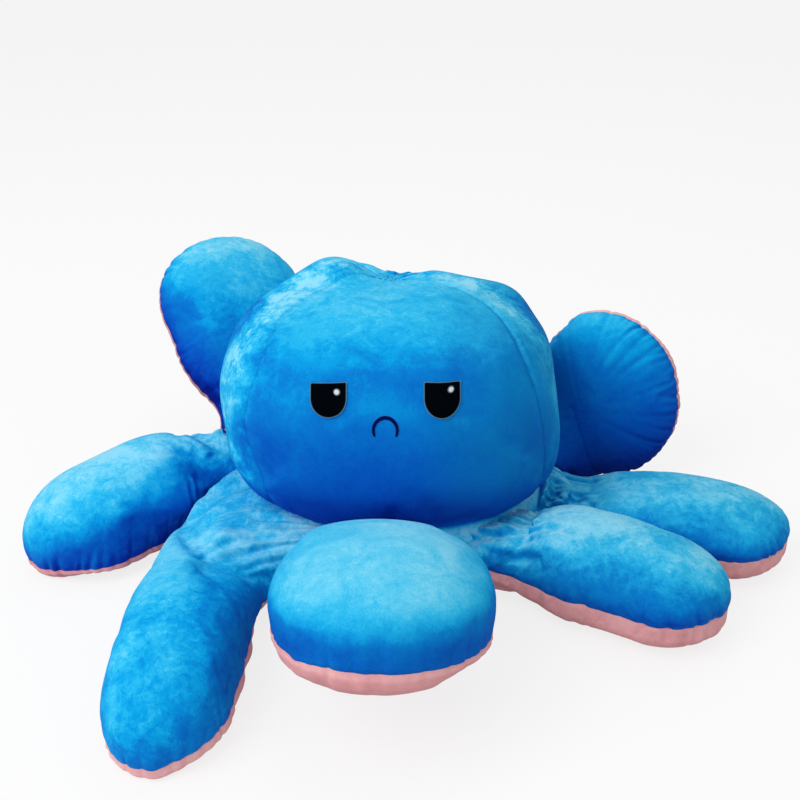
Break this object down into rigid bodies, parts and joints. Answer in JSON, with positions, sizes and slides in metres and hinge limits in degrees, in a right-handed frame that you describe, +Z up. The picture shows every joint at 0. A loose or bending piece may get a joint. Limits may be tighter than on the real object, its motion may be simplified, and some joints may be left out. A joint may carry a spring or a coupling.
{
  "type": "plush octopus toy",
  "caption": "Giant reversible plush octopus: soft bowl-shaped head with a grumpy face and a hand pocket underneath, and padded legs that turn where they are sewn on.",
  "frame": {"origin": "on the floor, under the middle of the toy's outline", "axes": "+Z up, -Y the way the face looks, +X to the right of someone who looks at the face"},
  "size_m": [0.9342, 0.9234, 0.3052],
  "materials": {
    "blue_velvet": "short-pile velvet",
    "pink_velvet": "short-pile velvet",
    "fibre_filling": "loose polyester fibre",
    "black_patch": "satin embroidery",
    "white_patch": "satin embroidery",
    "navy_thread": "satin embroidery"
  },
  "bodies": {
    "head": {"head_panel_front": "blue_velvet", "head_panel_left": "blue_velvet", "head_panel_right": "blue_velvet", "head_panel_back": "blue_velvet", "head_filling": "fibre_filling", "pocket_lining": "pink_velvet", "foot_ring": "pink_velvet", "eye_left": "black_patch", "eye_right": "black_patch", "eye_glint_left": "white_patch", "eye_glint_right": "white_patch", "mouth_stitching": "navy_thread"},
    "leg_front": {"leg_front_top_cover": "blue_velvet", "leg_front_under_cover": "pink_velvet", "leg_front_filling": "fibre_filling"},
    "leg_front_right": {"leg_front_right_top_cover": "blue_velvet", "leg_front_right_under_cover": "pink_velvet", "leg_front_right_filling": "fibre_filling"},
    "leg_right": {"leg_right_top_cover": "blue_velvet", "leg_right_under_cover": "pink_velvet", "leg_right_filling": "fibre_filling"},
    "leg_back_right": {"leg_back_right_top_cover": "blue_velvet", "leg_back_right_under_cover": "pink_velvet", "leg_back_right_filling": "fibre_filling"},
    "leg_back": {"leg_back_top_cover": "blue_velvet", "leg_back_under_cover": "pink_velvet", "leg_back_filling": "fibre_filling"},
    "leg_back_left": {"leg_back_left_top_cover": "blue_velvet", "leg_back_left_under_cover": "pink_velvet", "leg_back_left_filling": "fibre_filling"},
    "leg_left": {"leg_left_top_cover": "blue_velvet", "leg_left_under_cover": "pink_velvet", "leg_left_filling": "fibre_filling"},
    "leg_front_left": {"leg_front_left_top_cover": "blue_velvet", "leg_front_left_under_cover": "pink_velvet", "leg_front_left_filling": "fibre_filling"}
  },
  "joints": [
    {"name": "leg_front_hinge", "type": "hinge", "parent": "head", "child": "leg_front", "pos_m": [-0.02696, -0.17733, 0.064], "axis": [-1, 0, 0], "range_deg": [-57, 16]},
    {"name": "leg_front_right_hinge", "type": "hinge", "parent": "head", "child": "leg_front_right", "pos_m": [0.11024, -0.14198, 0.0375], "axis": [-0.2924, -0.9563, 0], "range_deg": [-40, 42]},
    {"name": "leg_right_hinge", "type": "hinge", "parent": "head", "child": "leg_right", "pos_m": [0.16674, -0.02107, 0.0375], "axis": [-0.1564, -0.9877, 0], "range_deg": [-40, 50]},
    {"name": "leg_back_right_hinge", "type": "hinge", "parent": "head", "child": "leg_back_right", "pos_m": [0.11806, 0.12018, 0.064], "axis": [0.2756, -0.9613, 0], "range_deg": [-50, 8]},
    {"name": "leg_back_hinge", "type": "hinge", "parent": "head", "child": "leg_back", "pos_m": [-0.01808, 0.16185, 0.0375], "axis": [0.9994, -0.0349, 0], "range_deg": [-40, 50]},
    {"name": "leg_back_left_hinge", "type": "hinge", "parent": "head", "child": "leg_back_left", "pos_m": [-0.15281, 0.1304, 0.064], "axis": [0.7314, 0.682, 0], "range_deg": [-80, 0]},
    {"name": "leg_left_hinge", "type": "hinge", "parent": "head", "child": "leg_left", "pos_m": [-0.21366, 0.02231, 0.0375], "axis": [-0.2419, 0.9703, 0], "range_deg": [-40, 42]},
    {"name": "leg_front_left_hinge", "type": "hinge", "parent": "head", "child": "leg_front_left", "pos_m": [-0.19219, -0.10484, 0.0375], "axis": [-0.9336, 0.3584, 0], "range_deg": [-40, 45]}
  ]
}
